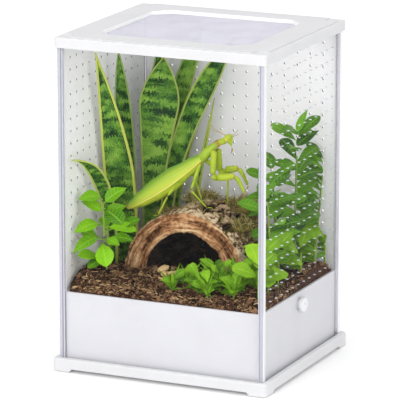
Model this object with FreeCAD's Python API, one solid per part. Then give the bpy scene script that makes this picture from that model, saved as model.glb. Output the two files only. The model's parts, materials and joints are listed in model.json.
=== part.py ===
import FreeCAD, Part
import math
import os

V = FreeCAD.Vector

# Planted display terrarium. Millimetres, +Z up, front towards -Y, origin on the table below the middle.

# Walls: outer faces of the corner posts, and the posts' length.
wall_width = 195.0
wall_depth = 175.0
wall_height = 289.0

# Base tray.
base_overhang = 5.0
base_corner = 4.0
base_round = 1.6
base_floor = 4.0
base_rim = 5.0
base_fit = 0.3
foot_height = 3.0
foot_length = 16.0
foot_slant = 2.3

# Slotted corner posts and the panes in them.
pane_thickness = 2.0
post_wall = 0.8
post_web = 0.6
slot_play = 0.1
slot_depth = 1.2
pane_end_play = 0.2
pane_top_play = 0.5

# Air holes.
hole_radius = 1.1
hole_pitch_across = 12.4
hole_pitch_up = 11.0
hole_margin = 9.0

# Soil tub.
tub_wall = 2.0
tub_height = 64.0
tub_play = 0.3

# Port and its plug, low in the right side.
port_radius = 5.0
port_below_rim = 11.0
plug_play = 0.1
plug_lip = 1.5
plug_head = 3.5
plug_round = 1.2

# Lid, its window and the clamped mesh.
lid_fit = 0.3
lid_skirt_wall = 2.2
lid_skirt_drop = 6.0
lid_plate = 3.0
lid_raise = 1.0
lid_corner = 3.5
lid_round = 1.2
lid_ledge = 3.0
lid_border = 28.0
window_chamfer = 13.0
stack_play = 0.5
mesh_thickness = 0.4
mesh_lap = 6.0
mesh_pitch = 9.6
mesh_wire = 1.8
clamp_lap = 11.0
clamp_thickness = 2.0
clamp_margin = 3.0
screw_radius = 1.1
screw_length = 4.0
screw_head_radius = 2.1
screw_head = 1.2
screw_play = 0.1

# Soil, bark and plants.
soil_play = 0.1
soil_below_rim = 0.5
soil_crown = [(0.0, 0.0), (5.0, 4.5), (22.0, 8.5), (50.0, 11.5)]
soil_heaps = [(-80.0, -46.0, 34.0, 16.0), (-70.0, 44.0, 40.0, 15.0), (84.0, 40.0, 36.0, 13.0),
              (-22.0, 62.0, 28.0, 30.0)]
plant_depth = 8.0
bark_front = -22.0
bark_length = 66.0
bark_height = 61.0
bark_wall = 18.0
bark_sunk = 6.0
snake_thickness = 3.2
blade_thickness = 0.7
blade_room = 4.0
blade_gap = 0.5
stem_radius = 1.1
stalk_radius = 0.7
planting_width = 195.0
planting_depth = 175.0

# Where the stems stand: foot, top, number of leaves, heading of the first leaf and its length.
tall_shoots = [((74, 35), (75, 39, 206), 19, 20, 34), ((70, 16), (61, 13, 184), 15, 140, 34),
               ((80, 62), (86, 75, 178), 17, 60, 27), ((71, -4), (64, -3, 166), 13, 200, 34)]
low_shoots = [((80, -58), (80, -58, 110), 7, 30, 29), ((80, -36), (79, -36, 116), 8, 80, 29),
              ((81, -16), (80, -14, 114), 8, 130, 29), ((87, 22), (87, 20, 108), 7, 200, 29),
              ((87, 52), (88, 50, 108), 7, 250, 29), ((88, 74), (88, 74, 104), 9, 190, 13)]
cover_shoots = [((10, -50), 9), ((24, -62), 13), ((30, -44), 17), ((44, -58), 16), ((50, -40), 18),
                ((60, -66), 14), ((0, -62), 6), ((62, -50), 19), ((38, -72), 11),
                ((70, -38), 17)]

# Levels and outlines that follow from the sizes above.
floor_top = foot_height + base_floor
base_top = floor_top + base_rim
wall_top = floor_top + wall_height
shoulder = wall_top + lid_plate
lid_top = shoulder + lid_raise
skirt_bottom = wall_top - lid_skirt_drop

base_width = wall_width + 2 * base_overhang
base_depth = wall_depth + 2 * base_overhang
lid_width = wall_width + 2 * (lid_fit + lid_skirt_wall)
lid_depth = wall_depth + 2 * (lid_fit + lid_skirt_wall)
window_width = lid_width - 2 * lid_border
window_depth = lid_depth - 2 * (lid_border - 2.0)

slot_width = pane_thickness + 2 * slot_play
post_size = post_wall + slot_width + post_web + slot_depth
pane_outer = post_wall + slot_play
pane_inner = pane_outer + pane_thickness
pane_height = wall_height - pane_top_play
slot_floor = post_size - slot_depth

tub_half_x = wall_width / 2 - pane_inner - tub_play
tub_half_y = wall_depth / 2 - pane_inner - tub_play
tub_notch_x = wall_width / 2 - post_size - tub_play
tub_notch_y = wall_depth / 2 - post_size - tub_play
tub_top = floor_top + tub_height
port_level = tub_top - port_below_rim

room_x = tub_half_x - blade_room
room_y = tub_half_y - blade_room
soil_edge = tub_top - soil_below_rim
soil_top = soil_edge + soil_crown[-1][1]
planted = soil_edge - plant_depth
bark_foot = soil_top - bark_sunk

os.makedirs("parts", exist_ok=True)


def block(x0, x1, y0, y1, z0, z1):
    return Part.makeBox(x1 - x0, y1 - y0, z1 - z0, V(x0, y0, z0))


def centred(width, depth, z0, z1):
    return block(-width / 2, width / 2, -depth / 2, depth / 2, z0, z1)


def outline(points, z):
    corners = [V(x, y, z) for x, y in points]
    return Part.makePolygon(corners + [corners[0]])


def prism(points, z0, z1):
    return Part.Face(outline(points, z0)).extrude(V(0, 0, z1 - z0))


def notched(half_x, half_y, notch_x, notch_y):
    corner = [(half_x, notch_y), (notch_x, notch_y), (notch_x, half_y)]
    points = list(corner)
    points += [(-x, y) for x, y in reversed(corner)]
    points += [(-x, -y) for x, y in corner]
    points += [(x, -y) for x, y in reversed(corner)]
    return points


def octagon(width, depth, cut):
    x, y = width / 2, depth / 2
    corner = [(x, y - cut), (x - cut, y)]
    points = list(corner)
    points += [(-px, py) for px, py in reversed(corner)]
    points += [(-px, -py) for px, py in corner]
    points += [(px, -py) for px, py in reversed(corner)]
    return points


def rounded_plate(width, depth, corner, z0, z1):
    plate = centred(width, depth, z0, z1)
    upright = [e for e in plate.Edges if abs(e.Vertexes[0].Z - e.Vertexes[1].Z) > 0.5]
    return plate.makeFillet(corner, upright)


def soften(shape, radius, level):
    ring = [e for e in shape.Edges if all(abs(v.Z - level) < 1e-6 for v in e.Vertexes)]
    return shape.makeFillet(radius, ring)


def base_plate():
    tray = rounded_plate(base_width, base_depth, base_corner, 0, base_top)
    tray = soften(tray, base_round, base_top)
    tray = soften(tray, base_round / 2, 0)
    tray = tray.cut(centred(wall_width + 2 * base_fit, wall_depth + 2 * base_fit, floor_top, base_top + 1))
    for length, depth, turn in ((base_width, base_depth, 0), (base_depth, base_width, 90)):
        reach = length / 2 - foot_length
        slope = foot_slant / foot_height
        profile = [(-reach - slope, -1), (reach + slope, -1),
                   (reach - foot_slant, foot_height), (-reach + foot_slant, foot_height)]
        wire = Part.makePolygon([V(x, -depth, z) for x, z in profile + profile[:1]])
        gap = Part.Face(wire).extrude(V(0, 2 * depth, 0))
        gap.rotate(V(0, 0, 0), V(0, 0, 1), turn)
        tray = tray.cut(gap)
    return tray.removeSplitter()


def corner_post(side_x, side_y, turn):
    post = block(0, post_size, 0, post_size, 0, wall_height)
    post = post.cut(block(slot_floor, post_size + 1, post_wall, post_wall + slot_width, -1, wall_height + 1))
    post = post.cut(block(post_wall, post_wall + slot_width, slot_floor, post_size + 1, -1, wall_height + 1))
    post.rotate(V(0, 0, 0), V(0, 0, 1), turn)
    post.translate(V(side_x * wall_width / 2, side_y * wall_depth / 2, floor_top))
    return post


def pane(length, holes):
    half = length / 2 - slot_floor - pane_end_play
    rim = Part.makePolygon([V(-half, 0, 0), V(half, 0, 0), V(half, 0, pane_height),
                            V(-half, 0, pane_height), V(-half, 0, 0)])
    rings = [Part.Wire(Part.makeCircle(r, V(x, 0, z), V(0, 1, 0))) for x, z, r in holes]
    sheet = Part.makeFace([rim] + rings, "Part::FaceMakerBullseye")
    return sheet.extrude(V(0, pane_thickness, 0))


def air_holes(length):
    span = length - 2 * (post_size + hole_margin)
    low = tub_height + hole_margin
    high = wall_height - lid_skirt_drop - hole_margin
    across = int(span / hole_pitch_across)
    up = int((high - low) / hole_pitch_up)
    return [((i - across / 2) * hole_pitch_across, low + j * hole_pitch_up, hole_radius)
            for i in range(across + 1) for j in range(up + 1)]


def stand_pane(shape, length, turn):
    shape.translate(V(0, -length / 2 + pane_outer, floor_top))
    shape.rotate(V(0, 0, 0), V(0, 0, 1), turn)
    return shape


def front_pane():
    return stand_pane(pane(wall_width, []), wall_depth, 0)


def right_pane():
    port = [(0, port_level - floor_top, port_radius)]
    return stand_pane(pane(wall_depth, air_holes(wall_depth) + port), wall_width, 90)


def rear_panel():
    return stand_pane(pane(wall_width, air_holes(wall_width)), wall_depth, 180)


def left_panel():
    return stand_pane(pane(wall_depth, air_holes(wall_depth)), wall_width, 270)


def tub_outline(inset):
    return notched(tub_half_x - inset, tub_half_y - inset, tub_notch_x - inset, tub_notch_y - inset)


def substrate_tub():
    tub = prism(tub_outline(0), floor_top, tub_top)
    tub = tub.cut(prism(tub_outline(tub_wall), floor_top + tub_wall, tub_top + 1))
    start = V(tub_half_x - 1.5 * tub_wall, 0, port_level)
    port = Part.makeCylinder(port_radius, 2 * tub_wall, start, V(1, 0, 0))
    return tub.cut(port)


def port_plug():
    seat = wall_width / 2 - pane_outer
    stem_end = tub_half_x - tub_wall
    stem = Part.makeCylinder(port_radius - plug_play, seat - stem_end, V(stem_end, 0, port_level), V(1, 0, 0))
    head = Part.makeCylinder(port_radius + plug_lip, plug_head, V(seat, 0, port_level), V(1, 0, 0))
    far = [e for e in head.Edges if abs(e.CenterOfMass.x - seat - plug_head) < 1e-3]
    head = head.makeFillet(plug_round, far)
    return head.fuse(stem).removeSplitter()


def lid_frame():
    lid = rounded_plate(lid_width, lid_depth, lid_corner, skirt_bottom, shoulder)
    lid = soften(lid, lid_round, shoulder)
    lid = lid.cut(centred(wall_width + 2 * lid_fit, wall_depth + 2 * lid_fit, skirt_bottom - 1, wall_top))
    foot_reach = foot_length + foot_slant * lid_raise / foot_height + stack_play
    panel = notched(lid_width / 2 - lid_ledge, lid_depth / 2 - lid_ledge,
                    base_width / 2 - foot_reach, base_depth / 2 - foot_reach)
    lid = lid.fuse(prism(panel, shoulder - lid_plate / 2, lid_top))
    lid = lid.cut(prism(octagon(window_width, window_depth, window_chamfer), wall_top - 1, lid_top + 1))
    lid = lid.cut(prism(mesh_outline(), wall_top - 1, wall_top + mesh_thickness))
    for x, y in screw_places():
        reach = screw_length - clamp_thickness + screw_play
        lid = lid.cut(Part.makeCylinder(screw_radius + screw_play / 2, reach, V(x, y, wall_top)))
    return lid.removeSplitter()


def mesh_outline():
    return octagon(window_width + 2 * mesh_lap, window_depth + 2 * mesh_lap, window_chamfer)


def mesh_screen():
    rim = outline(mesh_outline(), wall_top)
    gap = mesh_pitch - mesh_wire
    across = int((window_width - mesh_wire) / mesh_pitch)
    deep = int((window_depth - mesh_wire) / mesh_pitch)
    gaps = []
    for i in range(across):
        for j in range(deep):
            x = (i - (across - 1) / 2) * mesh_pitch
            y = (j - (deep - 1) / 2) * mesh_pitch
            corner = abs(x) + abs(y) + mesh_pitch
            if corner < (window_width + window_depth) / 2 - window_chamfer:
                square = [(x - gap / 2, y - gap / 2), (x + gap / 2, y - gap / 2),
                          (x + gap / 2, y + gap / 2), (x - gap / 2, y + gap / 2)]
                gaps.append(outline(square, wall_top))
    sheet = Part.makeFace([rim] + gaps, "Part::FaceMakerBullseye")
    return sheet.extrude(V(0, 0, mesh_thickness))


def screw_places():
    x = window_width / 2 + clamp_lap - clamp_margin
    y = window_depth / 2 + clamp_lap - clamp_margin
    return [(sx * x, sy * y) for sx in (-1, 0, 1) for sy in (-1, 0, 1) if sx or sy]


def mesh_clamp_frame():
    under = wall_top - clamp_thickness
    frame_width, frame_depth = window_width + 2 * clamp_lap, window_depth + 2 * clamp_lap
    frame = rounded_plate(frame_width, frame_depth, clamp_lap / 3, under, wall_top)
    frame = frame.cut(prism(octagon(window_width, window_depth, window_chamfer), under - 1, wall_top + 1))
    for x, y in screw_places():
        frame = frame.cut(Part.makeCylinder(screw_radius + screw_play, clamp_thickness, V(x, y, under)))
    return frame


def clamp_screws():
    under = wall_top - clamp_thickness
    screws = []
    for x, y in screw_places():
        head = Part.makeCylinder(screw_head_radius, screw_head, V(x, y, under - screw_head))
        head = soften(head, screw_head / 3, under - screw_head)
        shank = Part.makeCylinder(screw_radius, screw_length, V(x, y, under))
        screws.append(head.fuse(shank).removeSplitter())
    return Part.makeCompound(screws)


def cushion(x, y, level, reach, swell):
    dome = Part.makeSphere(reach)
    flatten = FreeCAD.Matrix()
    flatten.scale(1, 1, swell / reach)
    dome = dome.transformGeometry(flatten)
    dome.translate(V(x, y, level))
    return dome


def soil_mound():
    level = soil_edge
    inset = tub_wall + soil_play
    bed = prism(tub_outline(inset), floor_top + tub_wall, level)
    rings = [outline(tub_outline(inset + step), level + rise) for step, rise in soil_crown]
    mound = bed.fuse(Part.makeLoft(rings, True, True)).removeSplitter()
    walls = prism(tub_outline(inset), level - plant_depth, lid_top)
    for x, y, reach, swell in soil_heaps:
        mound = mound.fuse(cushion(x, y, level, reach, swell).common(walls))
    return mound.removeSplitter()


def bark_section(share):
    # One cross-section of the half-round bark: left and right reach, crown and shift change along it.
    y = bark_front + share * bark_length
    middle = -5 + 10 * share
    left, right = 61 - 17 * share * share, 57 - 14 * share
    crown = bark_height + 4 * math.sin(math.pi * share)
    bow = math.sqrt(0.5)
    bulge = bow + 0.09 * share

    def at(x, z):
        return V(middle + x, y, bark_foot + z)

    wall = bark_wall
    outer = [at(-left, 0), at(-left * bow, crown * bow), at(0, crown),
             at(right * bulge, crown * bulge), at(right, 0)]
    left, right, crown = left - wall * 1.2, right - wall * 1.2, crown - wall
    inner = [at(right, 0), at(right * bulge, crown * bulge), at(0, crown),
             at(-left * bow, crown * bow), at(-left, 0)]
    edges = []
    for arch in (outer, inner):
        edges.append(Part.Arc(*arch[0:3]).toShape())
        edges.append(Part.Arc(*arch[2:5]).toShape())
        follow = inner if arch is outer else outer
        edges.append(Part.makeLine(arch[4], follow[0]))
    return Part.Wire(edges)


def bark_hide():
    return Part.makeLoft([bark_section(s / 3) for s in range(4)], True, False)


def top_of(shape, x, y):
    probe = Part.makeLine(V(x, y, floor_top), V(x, y, lid_top))
    return max(v.Z for v in shape.common(probe).Vertexes)


def moss_patches(bark):
    cushions = []
    for x, y, reach, swell in ((-12, 28, 15, 6), (29, 31, 14, 7), (37, 2, 12, 5), (-38, 9, 9, 3)):
        level = top_of(bark, x, y)
        patch = cushion(x, y, level, reach, swell).cut(bark)
        cushions += [s for s in patch.Solids if s.CenterOfMass.z > level - swell / 2]
    return Part.makeCompound(cushions)


def rod(start, end, radius, end_radius=None):
    along = end - start
    if end_radius is None or abs(end_radius - radius) < 1e-6:
        return Part.makeCylinder(radius, along.Length, start, along)
    return Part.makeCone(radius, end_radius, along.Length, start, along)


def blade(base, tip, width):
    # A flat pointed leaf from its base to its tip, turned to face up and forwards.
    along = tip - base
    length = along.Length
    along.normalize()
    face = V(0.25, -0.55, 0.8)
    face = face - along * face.dot(along)
    face.normalize()
    across = face.cross(along)
    middle = base + along * (0.42 * length)
    sides = [Part.Arc(base, middle + across * (s * width / 2), tip).toShape() for s in (1, -1)]
    sheet = Part.Face(Part.Wire(sides)).extrude(face * blade_thickness)
    sheet.translate(face * (-blade_thickness / 2))
    return sheet


def plot(x, y, z):
    # A point of the planting, which spreads with the plan of the walls.
    return V(x * wall_width / planting_width, y * wall_depth / planting_depth, z)


def leaf_fill(share, belly, foot, rise, fall):
    # Share of a leaf's full width: from the foot up to the belly, then down to the point.
    if share < belly:
        return foot + (1 - foot) * (share / belly) ** rise
    return max(0.09, 1 - ((share - belly) / (1 - belly)) ** fall)


def snake_leaf(base, bend, tip, width, form):
    # A channelled upright leaf lofted along a bowed middle line, its channel facing the right front.
    across = V(math.cos(math.radians(24)), math.sin(math.radians(24)), 0)
    wires = []
    for share in (0, 0.2, 0.45, 0.65, 0.84, 0.95, 1):
        fill = leaf_fill(share, *form)
        middle = base * (1 - share) ** 2 + bend * (2 * share * (1 - share)) + tip * share ** 2
        run = (bend - base) * (1 - share) + (tip - bend) * share
        run.normalize()
        side = across - run * across.dot(run)
        side.normalize()
        face = side.cross(run)
        half = width * fill / 2
        thick = snake_thickness * (1 - 0.7 * share) / 2
        hollow = 0.3 * half + 0.2
        left, right = middle - side * half, middle + side * half
        front = Part.Arc(left, middle - face * hollow, right).toShape()
        back = Part.Arc(right, middle - face * (hollow + 2 * thick), left).toShape()
        wires.append(Part.Wire([front, back]))
    return Part.makeLoft(wires, True, False)


def snake_plant():
    rows = [
        ((-79, 12), (-73, -6, 170), (-85, -38, 277), 27, (0.45, 0.8, 1.0, 1.45)),
        ((-80, 26), (-80, 14, 180), (-81, 0, 273), 16, (0.5, 0.75, 1.0, 2.6)),
        ((-74, 60), (-73, 58, 170), (-67, 55, 270), 18, (0.6, 0.55, 1.2, 2.2)),
        ((-68, 38), (-66, 38, 170), (-54, 38, 262), 36, (0.76, 0.42, 2.0, 1.9)),
        ((-58, 72), (-82, 73, 172), (-31, 70, 284), 16, (0.75, 0.5, 1.3, 2.2)),
        ((-60, 53), (-70, 55, 172), (8, 55, 282), 20, (0.72, 0.5, 1.2, 2.2)),
        ((-54, 64), (-66, 66, 140), (-26, 66, 215), 9, (0.5, 0.5, 1.0, 1.6)),
        ((-82, -10), (-73, -26, 180), (-90, -76, 188), 14, (0.55, 0.5, 1.0, 1.8)),
    ]
    leaves = []
    for (x, y), bend, tip, width, form in rows:
        leaves.append(snake_leaf(plot(x, y, planted), plot(*bend), plot(*tip), width, form))
    return Part.makeCompound(leaves)


def left_bush():
    foot, knee, top = plot(-67, -49, planted), plot(-70, -53, 110), plot(-72, -52, 154)
    pieces = [rod(foot, knee, stem_radius), rod(knee, top, stem_radius, stalk_radius)]
    pieces.append(Part.makeSphere(stem_radius * 1.1, knee))
    rows = [
        ((-75, -52, 152), (-90, -64, 151), 13), ((-73, -53, 140), (-90, -58, 148), 12),
        ((-68, -54, 148), (-53, -44, 161), 14), ((-68, -56, 143), (-46, -66, 133), 17),
        ((-75, -56, 128), (-90, -73, 124), 14), ((-75, -58, 116), (-90, -77, 106), 14),
        ((-76, -54, 116), (-90, -60, 120), 12), ((-70, -58, 112), (-60, -70, 94), 17),
        ((-67, -52, 126), (-42, -46, 123), 12), ((-60, -48, 124), (-42, -39, 131), 12),
        ((-62, -51, 116), (-44, -48, 115), 11), ((-66, -55, 114), (-53, -58, 112), 10),
        ((-72, -56, 99), (-88, -70, 101), 12), ((-71, -55, 97), (-79, -68, 90), 10),
        ((-70, -47, 136), (-58, -33, 142), 13), ((-72, -46, 122), (-80, -30, 128), 13),
    ]
    for base, tip, width in rows:
        base, tip = plot(*base), plot(*tip)
        level = base.z - 3
        share = (level - foot.z) / (knee.z - foot.z)
        joint = foot + (knee - foot) * share
        if level > knee.z:
            joint = knee + (top - knee) * ((level - knee.z) / (top.z - knee.z))
        pieces.append(rod(joint, base + (tip - base) * 0.04, stalk_radius))
        pieces.append(blade(base, tip, width))
    return Part.makeCompound(pieces)


def touches(piece, crowd):
    near = [other for other in crowd if other.BoundBox.intersect(piece.BoundBox)]
    return any(piece.distToShape(other)[0] < blade_gap for other in near)


def shoot(foot, top, count, first, leaf_length, fullness, room, crowd):
    # One upright stem with leaves set round it by a steady turn, each turned on until it stays in its room.
    pieces = [rod(foot, top, stem_radius, stalk_radius)]
    for i in range(count):
        share = 0.34 + 0.64 * i / max(count - 1, 1)
        base = foot + (top - foot) * share
        length = leaf_length * (1 - 0.22 * i / max(count - 1, 1))
        pitch = math.radians(-8 + 40 * i / max(count - 1, 1))
        for step in range(24):
            heading = math.radians(first + 137.5 * i + 15 * step)
            level = math.cos(pitch)
            reach = V(math.cos(heading) * level, math.sin(heading) * level, math.sin(pitch))
            tip = base + reach * length
            if room[0] < tip.x < room[1] and room[2] < tip.y < room[3] and tip.z > room[4]:
                leaf = blade(base, tip, fullness * length)
                walled = leaf.BoundBox.XMax < tub_half_x and leaf.BoundBox.YMax < tub_half_y
                if walled and not touches(leaf, crowd):
                    pieces.append(leaf)
                    break
    return pieces


def right_tall_plant(crowd):
    room = (43, room_x, -24, room_y, 92)
    pieces = []
    for (x, y), top, count, first, length in tall_shoots:
        pieces += shoot(plot(x, y, planted), plot(*top), count, first, length, 0.47, room, crowd)
    crown = plot(75, 39, 205)
    for tip, width in (((78, 53, 225), 8), ((68, 19, 211), 17), ((84, 70, 199), 10)):
        pieces.append(blade(crown, plot(*tip), width))
    return Part.makeCompound(pieces)


def right_low_plant(crowd):
    room = (52, room_x, -room_y, room_y, 88)
    pieces = []
    for (x, y), top, count, first, length in low_shoots:
        pieces += shoot(plot(x, y, planted), plot(*top), count, first, length, 0.58, room, crowd)
    return Part.makeCompound(pieces)


def ground_cover(crowd):
    room = (-14, 70, -room_y, -27, 81)
    pieces = []
    for i, ((x, y), rise) in enumerate(cover_shoots):
        top = plot(x, y, soil_top + rise)
        pieces += shoot(plot(x, y, planted), top, 7, 47 * i, 16, 0.75, room, crowd)
    return Part.makeCompound(pieces)


def spindle(points, radii):
    wires = []
    for i, centre in enumerate(points):
        along = points[min(i + 1, len(points) - 1)] - points[max(i - 1, 0)]
        wires.append(Part.Wire(Part.makeCircle(radii[i], centre, along)))
    return Part.makeLoft(wires, True, False)


def limb(points, radii):
    pieces = []
    for i in range(len(points) - 1):
        pieces.append(rod(points[i], points[i + 1], radii[i], radii[i + 1]))
    for point, radius in zip(points[1:-1], radii[1:-1]):
        pieces.append(Part.makeSphere(radius * 1.06, point))
    return pieces


def mantis_figure(bark):
    tail, chest, neck, head = V(-61, -24, 136), V(2, -5, 183), V(16, -1, 198), V(25, 0, 200.5)
    steps = (0, 0.12, 0.35, 0.6, 0.85, 1)
    pieces = [spindle([tail + (chest - tail) * s for s in steps], (1.8, 5.4, 9.0, 9.8, 6.8, 4.0))]
    pieces += limb([chest + (tail - chest) * 0.06, neck, head], (4.2, 3.2, 2.6))
    pieces.append(Part.makeSphere(5.0, head))
    for side in (-1, 1):
        pieces.append(Part.makeSphere(2.2, head + V(0.8, 4.4 * side, 1.6)))
        pieces.append(rod(head + V(2, 1.2 * side, 3), head + V(8, 3.5 * side, 10), 0.35))
    grips = [
        [(14, -5, 193), (15, -9, 170), (20, -10, 169), (37, -10, 172), (47, -12, 157)],
        [(15, 2, 193), (15, 6, 171), (20, 8, 172), (32, 8, 175), (41, 8, 160)],
    ]
    for points in grips:
        pieces += limb([V(*p) for p in points], (2.2, 2.6, 2.9, 1.9, 0.7))
    walks = [
        ((2, -6, 182), (-4, -14, 156), (8, -6)), ((3, -1, 182), (20, 12, 166), (18, 16)),
        ((-12, -12, 170), (-24, -20, 150), (-34, -19)), ((-8, -5, 172), (-14, 14, 162), (-4, 10)),
    ]
    for hip, knee, (x, y) in walks:
        sole = V(x, y, top_of(bark, x, y) + 0.9)
        pieces += limb([V(*hip), V(*knee), sole], (1.4, 0.9, 0.55))
        pieces.append(Part.makeSphere(0.7, sole))
    return Part.makeCompound(pieces)


def export(shape, node):
    shape.exportStep("parts/" + node + ".step")
    print(node, len(shape.Solids), shape.isValid(), [round(v, 1) for v in (
        shape.BoundBox.XMin, shape.BoundBox.XMax, shape.BoundBox.YMin,
        shape.BoundBox.YMax, shape.BoundBox.ZMin, shape.BoundBox.ZMax)])


corners = {"front_left": (-1, -1, 0), "front_right": (1, -1, 90),
           "rear_right": (1, 1, 180), "rear_left": (-1, 1, 270)}

export(base_plate(), "base_plate")
for place, (side_x, side_y, turn) in corners.items():
    export(corner_post(side_x, side_y, turn), "corner_post_" + place)
export(front_pane(), "front_pane")
export(right_pane(), "right_pane")
export(rear_panel(), "rear_panel")
export(left_panel(), "left_panel")
export(substrate_tub(), "substrate_tub")
export(port_plug(), "port_plug")
export(lid_frame(), "lid_frame")
export(mesh_screen(), "mesh_screen")
export(mesh_clamp_frame(), "mesh_clamp_frame")
export(clamp_screws(), "clamp_screws")

mound = soil_mound()
bark = bark_hide()
contents = {"bark_hide": bark, "moss_patches": moss_patches(bark), "mantis_figure": mantis_figure(bark)}
contents["snake_plant"] = snake_plant()
contents["left_bush"] = left_bush()
for node, grow in (("right_tall_plant", right_tall_plant), ("right_low_plant", right_low_plant),
                   ("ground_cover", ground_cover)):
    crowd = [solid for shape in contents.values() for solid in shape.Solids]
    stems = [rod(plot(*row[0], planted), plot(*row[1]), stem_radius) for row in low_shoots]
    contents[node] = grow(crowd + [mound] + (stems if node == "right_tall_plant" else []))
for node, shape in contents.items():
    export(shape, node)
    rooted = [s for s in shape.Solids if s.BoundBox.ZMin < soil_top]
    mound = mound.cut(rooted) if rooted else mound
export(mound, "substrate_soil")
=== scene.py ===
import bpy
import json
import math
import random
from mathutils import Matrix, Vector, noise
from mathutils.bvhtree import BVHTree

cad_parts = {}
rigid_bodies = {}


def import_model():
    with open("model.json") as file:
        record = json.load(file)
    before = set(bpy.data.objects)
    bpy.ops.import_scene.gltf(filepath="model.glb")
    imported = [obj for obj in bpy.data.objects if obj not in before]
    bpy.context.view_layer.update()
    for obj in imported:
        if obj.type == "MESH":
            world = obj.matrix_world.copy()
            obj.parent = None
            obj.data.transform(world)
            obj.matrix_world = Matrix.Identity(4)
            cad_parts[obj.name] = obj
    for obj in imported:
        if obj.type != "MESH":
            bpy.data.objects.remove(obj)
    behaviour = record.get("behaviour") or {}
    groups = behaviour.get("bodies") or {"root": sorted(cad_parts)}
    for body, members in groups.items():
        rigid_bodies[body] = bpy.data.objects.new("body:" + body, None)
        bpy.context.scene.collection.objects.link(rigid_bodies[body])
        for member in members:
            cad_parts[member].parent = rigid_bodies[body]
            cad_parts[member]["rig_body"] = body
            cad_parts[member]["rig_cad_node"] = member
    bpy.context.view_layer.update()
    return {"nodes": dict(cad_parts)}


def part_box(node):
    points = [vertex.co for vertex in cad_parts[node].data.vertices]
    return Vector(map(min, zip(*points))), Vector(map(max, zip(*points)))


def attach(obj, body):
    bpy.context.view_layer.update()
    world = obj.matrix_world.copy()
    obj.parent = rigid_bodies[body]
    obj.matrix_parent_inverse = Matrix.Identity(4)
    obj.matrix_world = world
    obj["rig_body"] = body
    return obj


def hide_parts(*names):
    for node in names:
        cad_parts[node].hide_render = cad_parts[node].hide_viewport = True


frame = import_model()
nodes = frame["nodes"]
mm = 0.001
print("frame loaded:", len(nodes), "nodes")


# small helpers for modelling by operators

def clearSelection():
    bpy.ops.object.select_all(action="DESELECT")


def pick(*pieces):
    clearSelection()
    for piece in pieces:
        piece.select_set(True)
    bpy.context.view_layer.objects.active = pieces[0]


def addItem(name, operator, **values):
    clearSelection()
    operator(**values)
    item = bpy.context.active_object
    item.name = name
    return item


def addGrid(name, across, along):
    return addItem(name, bpy.ops.mesh.primitive_grid_add, x_subdivisions=across, y_subdivisions=along, size=1)


def openMesh(piece):
    pick(piece)
    bpy.ops.object.mode_set(mode="EDIT")
    bpy.ops.mesh.select_all(action="SELECT")


def closeMesh():
    bpy.ops.object.mode_set(mode="OBJECT")


def placeGrid(piece, place):
    for v in piece.data.vertices:
        v.co = place(v.co.x + 0.5, v.co.y + 0.5)
    return piece


def sealMesh(piece, gap=1e-5, closeHoles=True):
    openMesh(piece)
    bpy.ops.mesh.remove_doubles(threshold=gap)
    if closeHoles:
        bpy.ops.mesh.fill_holes(sides=0)
    bpy.ops.mesh.normals_make_consistent(inside=False)
    closeMesh()
    return piece


def copyPiece(piece, name):
    twin = piece.copy()
    twin.data = piece.data.copy()
    twin.name = name
    bpy.context.collection.objects.link(twin)
    return twin


def copyNode(node, name):
    twin = copyPiece(nodes[node], name)
    twin.parent = None
    del twin["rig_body"]
    del twin["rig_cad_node"]
    return sealMesh(twin, 1e-6, False)


def joinPieces(pieces, name):
    pick(*pieces)
    if len(pieces) > 1:
        bpy.ops.object.join()
    piece = bpy.context.active_object
    piece.name = name
    piece.data.name = name
    return piece


def useModifier(piece, kind, **values):
    pick(piece)
    modifier = piece.modifiers.new(kind.lower(), kind)
    for key, value in values.items():
        setattr(modifier, key, value)
    bpy.ops.object.modifier_apply(modifier=modifier.name)


def smoothShade(piece, angle):
    pick(piece)
    bpy.ops.object.shade_smooth_by_angle(angle=math.radians(angle))
    return piece


def giveMaterial(piece, material):
    piece.data.materials.clear()
    piece.data.materials.append(material)


def finishPiece(piece, body, node):
    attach(piece, body)
    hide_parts(node)
    print("piece:", piece.name, len(piece.data.polygons), "faces")
    return piece


def rollTube(name, spine, girth, around, along, flat=1.0, up=Vector((0, 0, 1))):
    piece = addGrid(name, around, along)

    def place(u, v):
        run = (spine(min(v + 0.02, 1)) - spine(max(v - 0.02, 0))).normalized()
        side = run.cross(up if abs(run.dot(up)) < 0.98 else Vector((0, 1, 0))).normalized()
        over = side.cross(run)
        turn = 2 * math.pi * u
        return spine(v) + (side * math.cos(turn) + over * (math.sin(turn) * flat)) * girth(v)

    return sealMesh(placeGrid(piece, place))


def straight(start, end):
    return lambda v: start + (end - start) * v


def bowed(start, bend, end):
    return lambda v: start * (1 - v) ** 2 + bend * (2 * v * (1 - v)) + end * v ** 2


def taper(first, last, tip=0.12):
    # radius along a limb, closed to a rounded point at both ends
    def girth(v):
        edge = min(1.0, v / tip, (1 - v) / tip)
        return (first + (last - first) * v) * math.sqrt(max(0.0, 1 - (1 - edge) ** 2))
    return girth


def at(x, y, z):
    return Vector((x, y, z)) * mm


def clip(value):
    return min(1.0, max(0.0, value))


def dim(colour, share):
    return tuple(c * share for c in colour)


# materials

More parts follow.
